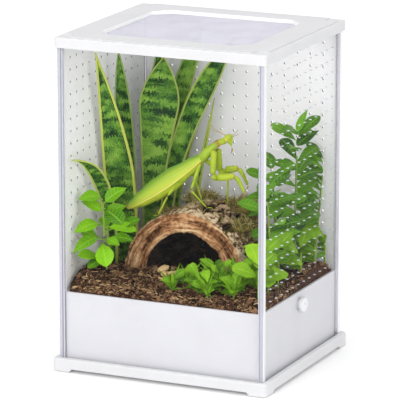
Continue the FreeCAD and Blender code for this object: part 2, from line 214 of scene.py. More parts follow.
class Look:
    # a node material with its shader and coordinates at hand
    def __init__(self, name, colour, roughness, **sockets):
        self.material = bpy.data.materials.new(name)
        self.material.use_nodes = True
        self.tree = self.material.node_tree
        self.shader = self.tree.nodes["Principled BSDF"]
        self.shader.inputs["Base Color"].default_value = (*colour, 1)
        self.shader.inputs["Roughness"].default_value = roughness
        for socket, value in sockets.items():
            self.shader.inputs[socket.replace("_", " ")].default_value = value
        coords = self.node("ShaderNodeTexCoord").outputs
        self.place, self.uv, self.normal = coords["Object"], coords["UV"], coords["Normal"]

    def node(self, kind, **values):
        made = self.tree.nodes.new(kind)
        for key, value in values.items():
            if key in ("operation", "data_type", "attribute_name", "use_clamp"):
                setattr(made, key, value)
            else:
                made.inputs[key.replace("_", " ")].default_value = value
        return made

    def link(self, source, target):
        self.tree.links.new(source, target)

    def attribute(self, name, output="Fac"):
        return self.node("ShaderNodeAttribute", attribute_name=name).outputs[output]

    def split(self, vector):
        made = self.node("ShaderNodeSeparateXYZ")
        self.link(vector, made.inputs[0])
        return made.outputs

    def mapped(self, source, scale):
        made = self.node("ShaderNodeMapping", Scale=scale)
        self.link(source, made.inputs["Vector"])
        return made.outputs["Vector"]

    def noise(self, vector, scale, detail, roughness=0.6, distortion=0.0):
        made = self.node("ShaderNodeTexNoise", Scale=scale, Detail=detail, Roughness=roughness,
                         Distortion=distortion)
        self.link(vector, made.inputs["Vector"])
        return made.outputs["Fac"]

    def math(self, operation, first, second=None, clamp=False):
        made = self.node("ShaderNodeMath", operation=operation, use_clamp=clamp)
        for i, value in enumerate((first, second)):
            if value is None:
                continue
            if isinstance(value, (int, float)):
                made.inputs[i].default_value = value
            else:
                self.link(value, made.inputs[i])
        return made.outputs[0]

    def times(self, first, second, clamp=False):
        return self.math("MULTIPLY", first, second, clamp)

    def weigh(self, first, firstShare, second, secondShare, clamp=False):
        return self.math("ADD", self.times(first, firstShare), self.times(second, secondShare), clamp)

    def within(self, value, limit):
        return self.math("LESS_THAN", self.math("ABSOLUTE", value), limit)

    def fromMiddle(self, share):
        return self.math("ABSOLUTE", self.math("SUBTRACT", share, 0.5))

    def ramp(self, fac, stops):
        made = self.node("ShaderNodeValToRGB")
        band = made.color_ramp
        while len(band.elements) < len(stops):
            band.elements.new(0.5)
        for element, (place, colour) in zip(band.elements, stops):
            element.position = place
            element.color = (*colour, 1)
        self.link(fac, made.inputs["Fac"])
        return made.outputs["Color"]

    def blend(self, fac, first, second):
        made = self.node("ShaderNodeMix", data_type="RGBA")
        self.link(fac, made.inputs[0])
        for i, value in ((6, first), (7, second)):
            if isinstance(value, tuple):
                made.inputs[i].default_value = (*value, 1)
            else:
                self.link(value, made.inputs[i])
        return made.outputs[2]

    def span(self, value, low, high, toLow=0.0, toHigh=1.0):
        made = self.node("ShaderNodeMapRange", From_Min=low, From_Max=high, To_Min=toLow, To_Max=toHigh)
        self.link(value, made.inputs["Value"])
        return made.outputs["Result"]

    def paint(self, colour):
        self.link(colour, self.shader.inputs["Base Color"])

    def rough(self, value):
        self.link(value, self.shader.inputs["Roughness"])

    def clear(self, pattern, haze, solid, opaque):
        # a see-through skin that varies a little round its haze, and is opaque where solid is one
        made = self.node("ShaderNodeMix", data_type="FLOAT")
        self.link(solid, made.inputs[0])
        self.link(self.span(pattern, 0.3, 0.7, haze * 0.85, haze * 1.15), made.inputs[2])
        made.inputs[3].default_value = opaque
        self.link(made.outputs[0], self.shader.inputs["Alpha"])

    def bump(self, height, strength, distance):
        made = self.node("ShaderNodeBump", Strength=strength, Distance=distance)
        self.link(height, made.inputs["Height"])
        self.link(made.outputs["Normal"], self.shader.inputs["Normal"])


def mouldedWhite(name, colour, roughness, grain, paintedLightWindow=None):
    # white moulding, with the walls of a window of the given half size painted white as painted light
    look = Look(name, colour, roughness)
    skin = look.ramp(look.noise(look.place, 26, 3), [(0.3, dim(colour, 0.955)), (0.62, colour)])
    if paintedLightWindow:
        spot = look.split(look.place)
        inside = look.within(look.split(look.normal)["Z"], 0.5)
        for axis, half in zip("XY", paintedLightWindow):
            inside = look.times(inside, look.within(spot[axis], half * mm))
        # painted light: the window's inner walls are made white to look lit
        skin = look.blend(inside, skin, (1.0, 1.0, 1.0))
    look.paint(skin)
    look.rough(look.span(look.noise(look.place, 190, 2), 0.3, 0.7, roughness - 0.06, roughness + 0.08))
    look.bump(look.noise(look.place, 1500, 2), grain, 0.00008)
    return look.material


def drilledWhite(name, colour, holeShade, axis):
    # white sheet whose drilled walls, turned away from its face, are painted dark as painted shade in the
    # holes
    look = Look(name, colour, 0.5)
    sheet = look.ramp(look.noise(look.place, 18, 3), [(0.3, dim(colour, 0.965)), (0.65, colour)])
    look.paint(look.blend(look.within(look.split(look.normal)[axis], 0.6), sheet, holeShade))
    look.bump(look.noise(look.place, 900, 2), 0.06, 0.0001)
    return look.material


def clearSheet(name, tint, haze, edge, axis, rows=None):
    # see-through sheet, frosted on its upper edge, or low in each hole of its drilled rows
    look = Look(name, tint, 0.06, Specular_IOR_Level=0.04)
    turned = look.split(look.normal)
    wall = look.within(turned[axis], 0.6)
    if rows:
        first, pitch, reach = (r * mm for r in rows)
        spot = look.split(look.place)
        count = look.math("DIVIDE", look.math("SUBTRACT", spot["Z"], first), pitch)
        off = look.math("SUBTRACT", look.math("FRACT", look.math("ADD", count, 0.5)), 0.5)
        wall = look.times(wall, look.math("LESS_THAN", off, -0.35 * mm / pitch))
        wall = look.times(wall, look.within(spot["Y"], reach))
    else:
        wall = look.times(wall, look.span(turned["Z"], 0.2, 0.4, 0.1, 1.0))
    look.clear(look.noise(look.place, 9, 3), haze, wall, edge)
    look.rough(look.span(wall, 0, 1, 0.05, 0.55))
    return look.material


def postPlastic(name, tint, haze, side, slot, line):
    # the faces towards the sides are painted near white and opaque as painted highlights, and a dark line
    # marks the slot
    look = Look(name, tint, 0.12, Specular_IOR_Level=0.2)
    streak = look.noise(look.mapped(look.place, (260, 260, 3)), 1, 3)
    aside = look.math("GREATER_THAN", look.math("ABSOLUTE", look.split(look.normal)["X"]), 0.7)
    shade = look.ramp(streak, [(0.3, dim(tint, 0.9)), (0.7, tint)])
    across = look.math("ABSOLUTE", look.split(look.place)["X"])
    off = look.math("ABSOLUTE", look.math("SUBTRACT", across, slot * mm))
    shade = look.blend(look.span(off, 0.25 * mm, 0.6 * mm, 0.85, 0), shade, line)
    # painted highlight: the side faces near white
    look.paint(look.blend(aside, shade, side))
    look.clear(streak, haze, aside, 0.85)
    look.rough(look.span(streak, 0.3, 0.7, 0.08, 0.2))
    return look.material


def brushedSteel(name, colour, dark, light):
    look = Look(name, colour, 0.35, Metallic=1.0)
    scratch = look.noise(look.mapped(look.place, (900, 60, 60)), 1, 3)
    look.paint(look.ramp(scratch, [(0.3, dark), (0.7, light)]))
    look.rough(look.span(scratch, 0.3, 0.7, 0.25, 0.45))
    return look.material


shellLook = {"colour": (0.72, 0.72, 0.735), "roughness": 0.36, "grain": 0.02}
# the lid's window walls get painted light
lidLook = {**shellLook, "paintedLightWindow": (84, 76)}
plugLook = {"colour": (0.83, 0.83, 0.84), "roughness": 0.3, "grain": 0.02}
tubLook = {"colour": (0.67, 0.67, 0.705), "roughness": 0.42, "grain": 0.05}
# holeShade: painted shade in the drilled holes, near black at the rear so the see-through holes read grey
rearLook = {"colour": (0.98, 0.972, 0.99), "holeShade": (0.04, 0.04, 0.045), "axis": "Y"}
leftLook = {"colour": (0.98, 0.972, 0.99), "holeShade": (0.4, 0.4, 0.43), "axis": "X"}
paneLook = {"tint": (0.9, 0.91, 0.95), "haze": 0.004, "edge": 0.6, "axis": "Y"}
portPaneLook = {"tint": (0.7, 0.69, 0.76), "haze": 0.012, "edge": 0.9, "axis": "X",
                "rows": (80, 11, 75)}  # lowest row, pitch and half width of the drilled part
# side: colour of the painted highlight on the posts' side faces
postLook = {"tint": (0.68, 0.68, 0.77), "haze": 0.6, "side": (0.95, 0.95, 0.97), "slot": 94.2,
            "line": (0.26, 0.26, 0.36)}
rearPostLook = {**postLook, "tint": (0.82, 0.82, 0.89), "haze": 0.5}
screwLook = {"colour": (0.55, 0.55, 0.57), "dark": (0.42, 0.42, 0.44), "light": (0.66, 0.66, 0.68)}

shellSkins = (
    (mouldedWhite("whiteShell", **shellLook), ("base_plate", "mesh_clamp_frame")),
    (mouldedWhite("whiteLid", **lidLook), ("lid_frame",)),
    (mouldedWhite("whitePlug", **plugLook), ("port_plug",)),
    (mouldedWhite("whiteTub", **tubLook), ("substrate_tub",)),
    (drilledWhite("rearSheet", **rearLook), ("rear_panel",)),
    (drilledWhite("leftSheet", **leftLook), ("left_panel",)),
    (clearSheet("frontClear", **paneLook), ("front_pane",)),
    (clearSheet("rightClear", **portPaneLook), ("right_pane",)),
    (postPlastic("clearPost", **postLook), ("corner_post_front_left", "corner_post_front_right")),
    (postPlastic("rearPost", **rearPostLook), ("corner_post_rear_left", "corner_post_rear_right")),
    (brushedSteel("screwSteel", **screwLook), ("clamp_screws",)))
for skin, members in shellSkins:
    for member in members:
        giveMaterial(nodes[member], skin)
print("shell finished")

# woven mesh of the lid

meshCloth = {"pitch": 1.8, "wire": 0.45, "flat": 0.8, "corner": 13, "colour": (0.67, 0.66, 0.745)}


def makeMesh():
    low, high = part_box("mesh_screen")
    size = high - low
    cells = [int(size[i] / (meshCloth["pitch"] * mm)) for i in (0, 1)]
    piece = addGrid("wovenMesh", *cells)
    level = (low.z + high.z) / 2
    placeGrid(piece, lambda u, v: Vector((low.x + size.x * u, low.y + size.y * v, level)))
    openMesh(piece)
    bpy.ops.mesh.select_mode(type="FACE")
    bpy.ops.mesh.select_all(action="DESELECT")
    closeMesh()
    limit = high.x + high.y - meshCloth["corner"] * mm
    for face in piece.data.polygons:
        face.select = abs(face.center.x) + abs(face.center.y) > limit
    bpy.ops.object.mode_set(mode="EDIT")
    bpy.ops.mesh.delete(type="FACE")
    bpy.ops.mesh.select_mode(type="VERT")
    closeMesh()
    useModifier(piece, "WIREFRAME", thickness=meshCloth["wire"] * mm, use_replace=True, use_boundary=True)
    for v in piece.data.vertices:
        v.co.z = level + (v.co.z - level) * meshCloth["flat"]
    colour = meshCloth["colour"]
    look = Look("meshCloth", colour, 0.6)
    look.paint(look.ramp(look.noise(look.place, 40, 2), [(0.35, dim(colour, 0.93)), (0.6, colour)]))
    giveMaterial(piece, look.material)
    finishPiece(piece, "lid", "mesh_screen")


makeMesh()

# soil with its crumbs, fibres and chips

soilBed = {
    "cells": (150, 134), "half": (91.8, 81.8), "margin": (0.97, 0.965), "level": 70.5, "floor": 40,
    # damp: tint factor of the painted shade, with damp soil, under and behind the bark
    "seed": 7, "tint": 0.35, "damp": -0.2,
    "cover": (14, 12, 30),  # the damp soil, darkened as painted shade, in from the bark's sides and front, and out behind it
    "strip": 9, "spill": 5,  # depth of the scraps at the panes, and scatter round a spot
    "scraps": (  # pattern, count, size, lift, flatness, tints and place
        ("crumb", 1700, (0.7, 2.4), 0.35, (0.5, 0.9), (0.1, 0.95), None),
        ("crumb", 170, (2.4, 4.6), 0.1, (0.5, 0.8), (0.05, 0.6), None),
        ("fibre", 1500, (1.6, 4.6), 0.15, (0.5, 1.2), (0.05, 0.75), None),
        ("crumb", 420, (1.0, 2.8), 0.3, (0.6, 1.0), (0.05, 1.0), "panes"),
        ("fibre", 420, (1.6, 4.0), 0.3, (0.6, 1.4), (0.1, 0.9), "panes"),
        ("chip", 30, (1.6, 3.4), 0.2, (0.15, 0.3), (0.3, 0.7), None),
        ("chip", 9, (2.2, 5.0), 0.25, (0.2, 0.35), (0.7, 1.0), (-22, -30))),
    "dark": [(0.24, (0.01, 0.005, 0.003)), (0.46, (0.07, 0.033, 0.018)), (0.74, (0.3, 0.165, 0.085))],
    "tan": [(0.16, (0.03, 0.014, 0.006)), (0.3, (0.2, 0.1, 0.04)), (0.7, (0.76, 0.54, 0.27))]}

underLid = 290
probes = {}


def topOf(node, x, y, miss):
    # height of a node over a spot, by a ray from under the lid
    if node not in probes:
        mesh = nodes[node].data
        points, faces = [v.co for v in mesh.vertices], [p.vertices for p in mesh.polygons]
        probes[node] = BVHTree.FromPolygons(points, faces)
    point = probes[node].ray_cast(Vector((x, y, underLid * mm)), Vector((0, 0, -1)))[0]
    return point.z if point else miss


def soilHeight(x, y):
    level = topOf("substrate_soil", x, y, soilBed["level"] * mm)
    lump = noise.fractal(Vector((x, y, 0)) * 85, 0.8, 2.0, 3) * 2.2
    lump += noise.noise(Vector((x, y, 5)) * 420) * 0.9
    return level + lump * mm


def soilMaterial(name, stops, scale):
    look = Look(name, stops[1][1], 0.9, Specular_IOR_Level=0.06)
    cloud = look.noise(look.place, scale, 5, 0.65)
    look.paint(look.ramp(look.weigh(cloud, 0.45, look.attribute("tint"), 0.55), stops))
    look.bump(cloud, 0.7, 0.0012)
    return look.material


def tintPiece(piece, value, attribute="tint"):
    layer = piece.data.attributes.get(attribute) or piece.data.attributes.new(attribute, "FLOAT", "POINT")
    for entry in layer.data:
        entry.value = value
    return piece


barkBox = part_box("bark_hide")


def paintedBarkShade(x, y):
    # soil under the bark and close behind it is damp, and darker as painted shade
    low, high = barkBox
    side, front, behind = (c * mm for c in soilBed["cover"])
    inside = low.x + side < x < high.x - side and low.y + front < y < high.y + behind
    return soilBed["damp"] if inside else 1.0


def makeSoil():
    rng = random.Random(soilBed["seed"])
    halfX, halfY = (h * mm for h in soilBed["half"])
    bed = addGrid("soilBed", *soilBed["cells"])

    def place(u, v):
        x, y = (2 * u - 1) * halfX, (2 * v - 1) * halfY
        return Vector((x, y, soilHeight(x, y)))

    placeGrid(bed, place)
    openMesh(bed)
    bpy.ops.mesh.region_to_loop()
    bpy.ops.mesh.extrude_region_move(TRANSFORM_OT_translate={"value": (0, 0, -0.03)})
    bpy.ops.transform.resize(value=(1, 1, 0), center_override=(0, 0, soilBed["floor"] * mm))
    bpy.ops.mesh.edge_face_add()
    bpy.ops.mesh.select_all(action="SELECT")
    bpy.ops.mesh.normals_make_consistent(inside=False)
    closeMesh()
    tintPiece(bed, soilBed["tint"])
    # painted shade: the bed's tint darkened under and behind the bark
    for v, entry in zip(bed.data.vertices, bed.data.attributes["tint"].data):
        entry.value *= paintedBarkShade(v.co.x, v.co.y)
    dark = soilMaterial("soilDark", soilBed["dark"], 260)
    tan = soilMaterial("soilFibre", soilBed["tan"], 120)
    giveMaterial(bed, dark)

    crumb = addItem("soilCrumb", bpy.ops.mesh.primitive_ico_sphere_add, subdivisions=1, radius=1)
    giveMaterial(crumb, dark)
    fibre = rollTube("soilFibre", bowed(Vector((-1, 0, 0)), Vector((0, 0.9, 0.5)), Vector((1, 0, 0))),
                     taper(0.1, 0.07), 3, 5)
    giveMaterial(fibre, tan)
    chip = addItem("soilChip", bpy.ops.mesh.primitive_cube_add, size=2)
    useModifier(chip, "BEVEL", width=0.35, segments=1)
    giveMaterial(chip, tan)

    patterns = {"crumb": crumb, "fibre": fibre, "chip": chip}
    marginX, marginY = soilBed["margin"]
    scraps = [bed]

    def scatter(pattern, count, size, lift, flat, tints, where):
        for i in range(count):
            x, y = rng.uniform(-halfX, halfX) * marginX, rng.uniform(-halfY, halfY) * marginY
            if where == "panes":
                strip = rng.uniform(0, 1) ** 1.5 * soilBed["strip"] * mm
                x, y = (x, strip - halfY) if rng.random() < 0.6 else (halfX - strip, y)
            elif where:
                x, y = (w * mm + rng.gauss(0, soilBed["spill"]) * mm for w in where)
            elif rng.random() < 0.55:  # more of them in front
                y = rng.uniform(-halfY, -halfY * 0.1) * marginY
            length = rng.uniform(*size) * mm
            piece = copyPiece(pattern, "scrap")
            turn = rng.uniform(0, 2 * math.pi)
            tilt = rng.uniform(-0.6, 0.6)
            grow = [length, length * rng.uniform(0.55, 1), length * rng.uniform(*flat)]
            base = Vector((x, y, soilHeight(x, y) + lift * length))
            c, s, t = math.cos(turn), math.sin(turn), math.sin(tilt)
            for v in piece.data.vertices:
                p = Vector((v.co.x * grow[0], v.co.y * grow[1], v.co.z * grow[2]))
                if pattern is crumb:
                    p *= rng.uniform(0.75, 1.2)
                p = Vector((p.x * c - p.y * s, p.x * s + p.y * c, p.z + p.x * t)) + base
                v.co = Vector((min(max(p.x, -halfX), halfX), min(max(p.y, -halfY), halfY), p.z))
            # scraps there get the same painted shade
            tintPiece(piece, rng.uniform(*tints) * paintedBarkShade(x, y))
            scraps.append(piece)

    for kind, *row in soilBed["scraps"]:
        scatter(patterns[kind], *row)
    for pattern in patterns.values():
        bpy.data.objects.remove(pattern)
    soil = joinPieces(scraps, "pottingSoil")
    finishPiece(soil, "enclosure", "substrate_soil")


makeSoil()

# bark hide with its moss

barkLog = {"voxel": 1.1, "fissure": 3.0, "lump": 1.5, "layer": 1.5, "foot": 76,
           "front": -22, "length": 66, "aside": (-5, 5),  # ends of its axis, along y and in x
           "knots": ((31.3, -11.5, 125.9, 5.0), (32.1, 10, 129.7, 5.6), (8, 4, 139, 4.0))}


def barkMaterial():
    look = Look("barkSkin", (0.2, 0.11, 0.05), 0.85, Specular_IOR_Level=0.08)
    grain = look.noise(look.mapped(look.place, (420, 60, 420)), 1, 5, 0.65)
    mixed = look.weigh(look.attribute("depth"), 0.62, grain, 0.38)
    skin = look.ramp(mixed, [(0.2, (0.015, 0.008, 0.005)), (0.34, (0.17, 0.1, 0.055)),
                             (0.47, (0.5, 0.35, 0.21)), (0.6, (0.77, 0.61, 0.41))])
    strata = look.noise(look.attribute("ring", "Vector"), 1, 5, 0.62, 0.3)
    wood = look.ramp(look.weigh(mixed, 0.42, strata, 0.58),
                     [(0.34, (0.05, 0.02, 0.01)), (0.44, (0.32, 0.145, 0.06)),
                      (0.53, (0.6, 0.34, 0.16)), (0.63, (0.82, 0.6, 0.37))])
    colour = look.blend(look.attribute("sawn"), skin, wood)
    # painted shade: the hollow's inner walls darkened nearly to black
    hollow = look.times(look.attribute("hollowShade"), 0.95, True)
    colour = look.blend(hollow, colour, (0.006, 0.003, 0.002))
    upward = look.span(look.split(look.normal)["Z"], 0.1, 0.7)
    damp = look.times(upward, look.span(look.noise(look.place, 55, 4, 0.7), 0.48, 0.62))
    look.paint(look.blend(look.times(damp, 0.4), colour, (0.2, 0.17, 0.03)))
    look.bump(grain, 0.8, 0.0012)
    return look.material


def makeBark():
    bark = copyNode("bark_hide", "barkLog")
    useModifier(bark, "REMESH", mode="VOXEL", voxel_size=barkLog["voxel"] * mm)
    mesh = bark.data
    depth, sawn, hollowShade = (mesh.attributes.new(key, "FLOAT", "POINT") for key in ("depth", "sawn", "hollowShade"))
    ring = mesh.attributes.new("ring", "FLOAT_VECTOR", "POINT")
    left, right = barkLog["aside"]
    moved = []
    for v in mesh.vertices:
        p, n = v.co / mm, v.normal
        share = (p.y - barkLog["front"]) / barkLog["length"]
        out = Vector((p.x - (left + (right - left) * share), 0, p.z - barkLog["foot"]))
        radius = out.length
        angle = math.atan2(out.z, out.x)
        facing = n.dot(out.normalized())
        end = min(1.0, abs(n.y) * 1.3)
        rough = noise.fractal(p * 0.05, 0.9, 2.1, 4)
        spot = Vector((angle * 9, p.y * 0.045, radius * 0.02)) + Vector((3, 1, 7)) * rough * 0.35
        ridge = 1 - abs(noise.noise(spot)) * 2
        crack = 1 - abs(noise.noise(Vector((angle * 3.2, p.y * 0.11, 4)))) * 2
        cut = min(1.0, max(0.0, ridge - 0.62) / 0.38 + 0.7 * max(0.0, crack - 0.7) / 0.3)
        layer = noise.noise(Vector((radius * 0.42 + rough * 1.6, angle * 1.4, p.y * 0.02)))
        fine = noise.noise(p * 0.45)
        push = barkLog["lump"] * rough + 0.45 * fine
        push -= (1 - end) * barkLog["fissure"] * cut * (0.35 + 0.65 * max(0.0, facing))
        push += end * (barkLog["layer"] * layer - 0.6)
        if p.z < barkLog["foot"] + 2:
            push = min(push, 0.3)
        tone = (1 - end) * (0.7 * fine + 0.6 * rough - 1.3 * cut)
        tone += end * (1.25 * layer + 0.5 * fine + 0.5 * rough - 0.4 * cut)
        tone += (1 - end) * 0.36 * clip((-2 - p.y) / 10)  # bare plates behind the rim
        for kx, ky, kz, reach in barkLog["knots"]:
            near = Vector((p.x - kx, (p.y - ky) * 0.7, p.z - kz)).length / reach
            if near < 1.5:
                push -= 3.2 * max(0.0, 1 - near * near)
                tone -= 2.2 * max(0.0, 1.2 - near)
        rim = clip((abs(n.y) - 0.65) / 0.25)
        ring.data[v.index].vector = (radius * 0.42, angle * 1.3, p.y * 0.02)
        depth.data[v.index].value = 0.5 + 0.5 * tone
        # hollowShade marks the hollow's inner walls for their painted shade
        hollowShade.data[v.index].value = (1 - rim) * clip(-2 * facing)
        sawn.data[v.index].value = rim if n.y < 0 else 0.4 * rim
        moved.append(v.co + n * (push * mm))
    for v, co in zip(mesh.vertices, moved):
        v.co = co
    giveMaterial(bark, barkMaterial())
    smoothShade(bark, 60)
    return finishPiece(bark, "enclosure", "bark_hide")


mossTuft = {"strands": 2400, "length": (2.5, 7.5), "voxel": 1.0, "swell": 1.1, "seed": 11,
            "low": 100, "front": -10, "gaps": -0.12}  # where strands also grow on the bare bark


def makeMoss(bark):
    rng = random.Random(mossTuft["seed"])
    cushion = copyNode("moss_patches", "mossCushion")
    useModifier(cushion, "REMESH", mode="VOXEL", voxel_size=mossTuft["voxel"] * mm)
    for v, n in [(v, v.normal.copy()) for v in cushion.data.vertices]:
        v.co += n * (noise.fractal(v.co * 260, 0.8, 2.0, 3) * mossTuft["swell"] * mm)
    look = Look("mossGreen", (0.14, 0.13, 0.03), 0.9, Specular_IOR_Level=0.05)
    mixed = look.weigh(look.noise(look.place, 300, 4), 0.55, look.attribute("tint"), 0.45)
    look.paint(look.ramp(mixed, [(0.25, (0.035, 0.024, 0.007)), (0.45, (0.2, 0.165, 0.035)),
                                 (0.6, (0.5, 0.43, 0.14)), (0.76, (0.76, 0.66, 0.36))]))
    look.bump(look.noise(look.place, 900, 3), 0.8, 0.001)
    giveMaterial(cushion, look.material)
    tintPiece(cushion, 0.25)

    sites = [(f.center.copy(), f.normal.copy()) for f in cushion.data.polygons if f.normal.z > 0.1]
    wild = [(f.center.copy(), f.normal.copy()) for f in bark.data.polygons
            if f.normal.z > 0.25 and f.center.z > mossTuft["low"] * mm
            and f.center.y > mossTuft["front"] * mm and noise.noise(f.center * 48) > mossTuft["gaps"]]
    strand = rollTube("mossStrand", bowed(Vector((0, 0, 0)), Vector((0.1, 0, 0.6)), Vector((0.7, 0, 0.8))),
                      lambda v: 0.05 * (1 - 0.8 * v), 3, 3)
    giveMaterial(strand, look.material)
    tufts = [cushion]
    for i in range(mossTuft["strands"]):
        root, normal = rng.choice(sites if i % 2 else wild)
        length = rng.uniform(*mossTuft["length"]) * mm
        lean = Vector((rng.gauss(0, 0.7), rng.gauss(0, 0.7), rng.gauss(0, 0.4)))
        up = (normal + lean * 0.6 + Vector((0, 0, 0.2))).normalized()
        side = up.cross(Vector((rng.uniform(-1, 1), rng.uniform(-1, 1), 0.3))).normalized()
        twin = copyPiece(strand, "strand")
        for v in twin.data.vertices:
            p = v.co * length
            v.co = root + side * p.x + up.cross(side) * p.y + up * p.z
        tufts.append(tintPiece(twin, rng.uniform(0.1, 1.0)))
    bpy.data.objects.remove(strand)
    moss = joinPieces(tufts, "mossTufts")
    finishPiece(moss, "enclosure", "moss_patches")


makeMoss(makeBark())

# leafy plants, each leaf a curved sheet laid on a blade of the frame

leafFacing = Vector((0.25, -0.55, 0.8))  # the side that most leaves turn to
leafThickness = 0.35


def readPlant(node):
    # blades as base, tip, width and face, and stems as foot, top and radius
    openMesh(copyNode(node, node + "Copy"))
    bpy.ops.mesh.separate(type="LOOSE")
    closeMesh()
    parts = list(bpy.context.selected_objects)
    blades, stems = [], []
    for part in parts:
        points = [v.co.copy() for v in part.data.vertices]
        first = max(points, key=lambda p: (p - points[0]).length)
        last = max(points, key=lambda p: (p - first).length)
        run = last - first
        length = run.length
        run.normalize()
        offset = [p - first - run * (p - first).dot(run) for p in points]
        wide = max(range(len(points)), key=lambda i: offset[i].length)
        across = offset[wide].normalized()
        face = across.cross(run)
        reach = [max(p.dot(d) for p in points) - min(p.dot(d) for p in points) for d in (across, face)]
        if reach[1] < 0.4 * reach[0]:
            if (points[wide] - first).dot(run) > length / 2:
                first, last = last, first
            if face.dot(leafFacing) < 0:
                face = -face
            blades.append((first, last, 2 * offset[wide].length, face))
        elif length > 4 * mm:
            groups = [[p for p in points if (p - e).length < length / 3] for e in (first, last)]
            ends = sorted((sum(group, Vector()) / len(group) for group in groups), key=lambda p: p.z)
            stems.append((*ends, reach[1] / 2))
    for part in parts:
        bpy.data.objects.remove(part)
    return blades, stems


def leafMaterial(name, dark, light, rib, gloss, veins):
    look = Look(name, light, gloss, Specular_IOR_Level=0.12)
    spot = look.split(look.uv)
    side = look.times(look.fromMiddle(spot["X"]), 2)
    midrib = look.span(side, 0.02, 0.13, 1, 0)
    turns = look.math("SUBTRACT", look.times(spot["Y"], veins), side)
    vein = look.times(look.span(look.math("SINE", look.times(turns, 2 * math.pi)), 0.55, 1.0), 0.3)
    mixed = look.weigh(look.attribute("tint"), 0.65, look.noise(look.place, 75, 4), 0.45, True)
    sheet = look.ramp(mixed, [(0.2, dark), (0.85, light)])
    look.paint(look.blend(look.math("MAXIMUM", look.times(midrib, 0.6), vein), sheet, rib))
    look.bump(look.math("SUBTRACT", 1.0, look.math("ADD", midrib, vein)), 0.35, 0.0004)
    return look.material


def leafOutline(share, shape):
    def width(s):
        return (s + shape["blunt"]) ** shape["base"] * (1 - s) ** shape["point"]

    peak = max(width(s / 40) for s in range(41))
    notch = 1 - shape["notch"] * ((share * shape["teeth"]) % 1.0)
    return width(share) / peak * notch


def layLeaf(pattern, blade, shape, rng):
    base, tip, width, face = blade
    along = (tip - base).normalized()
    across = along.cross(face).normalized()
    length = (tip - base).length
    leaf = copyPiece(pattern, "leaf")
    sag = rng.uniform(0.6, 1.4)
    twist = rng.uniform(-0.25, 0.25)
    wave = rng.uniform(0, 6)
    for v in leaf.data.vertices:
        share, side = v.co.y + 0.5, 2 * v.co.x
        half = width / 2 * shape["wide"] * leafOutline(share, shape)
        rise = length * (shape["arch"] * math.sin(math.pi * share) - shape["droop"] * sag * share ** 2)
        rise += half * (shape["fold"] * abs(side) ** 1.3 + twist * side * share)
        rise += half * shape["ripple"] * math.sin(share * 14 + wave + side) * abs(side)
        v.co = base + along * (length * share) + across * (side * half) + face * rise
    return tintPiece(leaf, rng.uniform(0, 1))


def addSprigs(stems, grass, rng):
    # thin grass blades and small leaflets that rise round the foot of each stem
    extra = []
    for foot, top, radius in stems:
        for i in range(grass["count"]):
            turn = rng.uniform(0, 2 * math.pi)
            out = Vector((math.cos(turn), math.sin(turn), 0))
            base = foot + (top - foot) * rng.uniform(0.5, 0.8)
            reach = out * rng.uniform(*grass["spread"])
            tip = base + (reach + Vector((0, 0, rng.uniform(*grass["rise"])))) * mm
            tip.y = max(tip.y, grass["front"] * mm)
            face = leafFacing - (tip - base).normalized() * 0.3
            extra.append((base, tip, rng.uniform(*grass["width"]) * mm, face.normalized()))
    return extra


def makePlant(name, node, shape, grass=None):
    rng = random.Random(shape["seed"])
    blades, stems = readPlant(node)
    if grass:
        blades = blades + addSprigs(stems, grass, rng)
    pattern = addGrid(name + "Leaf", *shape["cells"])
    giveMaterial(pattern, leafMaterial(*shape["skin"]))
    leaves = [layLeaf(pattern, blade, shape, rng) for blade in blades]
    bpy.data.objects.remove(pattern)
    sheet = joinPieces(leaves, name)
    useModifier(sheet, "SOLIDIFY", thickness=leafThickness * mm, offset=0)
    smoothShade(sheet, 50)
    parts = [sheet]
    for foot, top, radius in stems:
        bend = (foot + top) / 2 + Vector((rng.uniform(-1, 1), rng.uniform(-1, 1), 0)) * mm
        stem = rollTube("stem", bowed(foot, bend, top), lambda v, r=radius: r * (1.05 - 0.3 * v), 6, 6)
        giveMaterial(stem, stemSkin)
        parts.append(tintPiece(smoothShade(stem, 60), rng.uniform(0.3, 0.7)))
    plant = joinPieces(parts, name)
    finishPiece(plant, "enclosure", node)


bushShape = {"cells": (6, 12), "wide": 0.94, "base": 0.75, "blunt": 0.01, "point": 1.15,
             "teeth": 0, "notch": 0, "arch": 0.07, "droop": 0.1, "fold": 0.2, "ripple": 0.03, "seed": 3,
             "skin": ("bushLeaf", (0.028, 0.14, 0.004), (0.22, 0.54, 0.006), (0.36, 0.64, 0.05), 0.3, 7)}
tallShape = {"cells": (6, 10), "wide": 0.86, "base": 0.65, "blunt": 0.01, "point": 1.2,
             "teeth": 0, "notch": 0, "arch": 0.06, "droop": 0.12, "fold": 0.16, "ripple": 0.05, "seed": 5,
             "skin": ("tallLeaf", (0.016, 0.08, 0.006), (0.15, 0.38, 0.018), (0.28, 0.5, 0.07), 0.34, 8)}
lowShape = {"cells": (4, 28), "wide": 1.1, "base": 0.6, "blunt": 0.03, "point": 1.0,
            "teeth": 14, "notch": 0.26, "arch": 0.05, "droop": 0.14, "fold": 0.18, "ripple": 0.1, "seed": 8,
            "skin": ("lowLeaf", (0.09, 0.24, 0.008), (0.28, 0.54, 0.016), (0.4, 0.62, 0.06), 0.4, 9)}
coverShape = {"cells": (6, 14), "wide": 0.85, "base": 0.4, "blunt": 0.06, "point": 0.9,
              "teeth": 5, "notch": 0.16, "arch": 0.06, "droop": 0.16, "fold": 0.15, "ripple": 0.1, "seed": 13,
              "skin": ("coverLeaf", (0.03, 0.13, 0.003), (0.23, 0.5, 0.01), (0.4, 0.62, 0.06), 0.4, 5)}
grassShape = {"count": 26, "spread": (3, 14), "rise": (3, 21), "width": (0.8, 4.6), "front": -81}

stemSkin = leafMaterial("greenStem", (0.1, 0.22, 0.02), (0.28, 0.45, 0.07), (0.34, 0.48, 0.1), 0.5, 3)

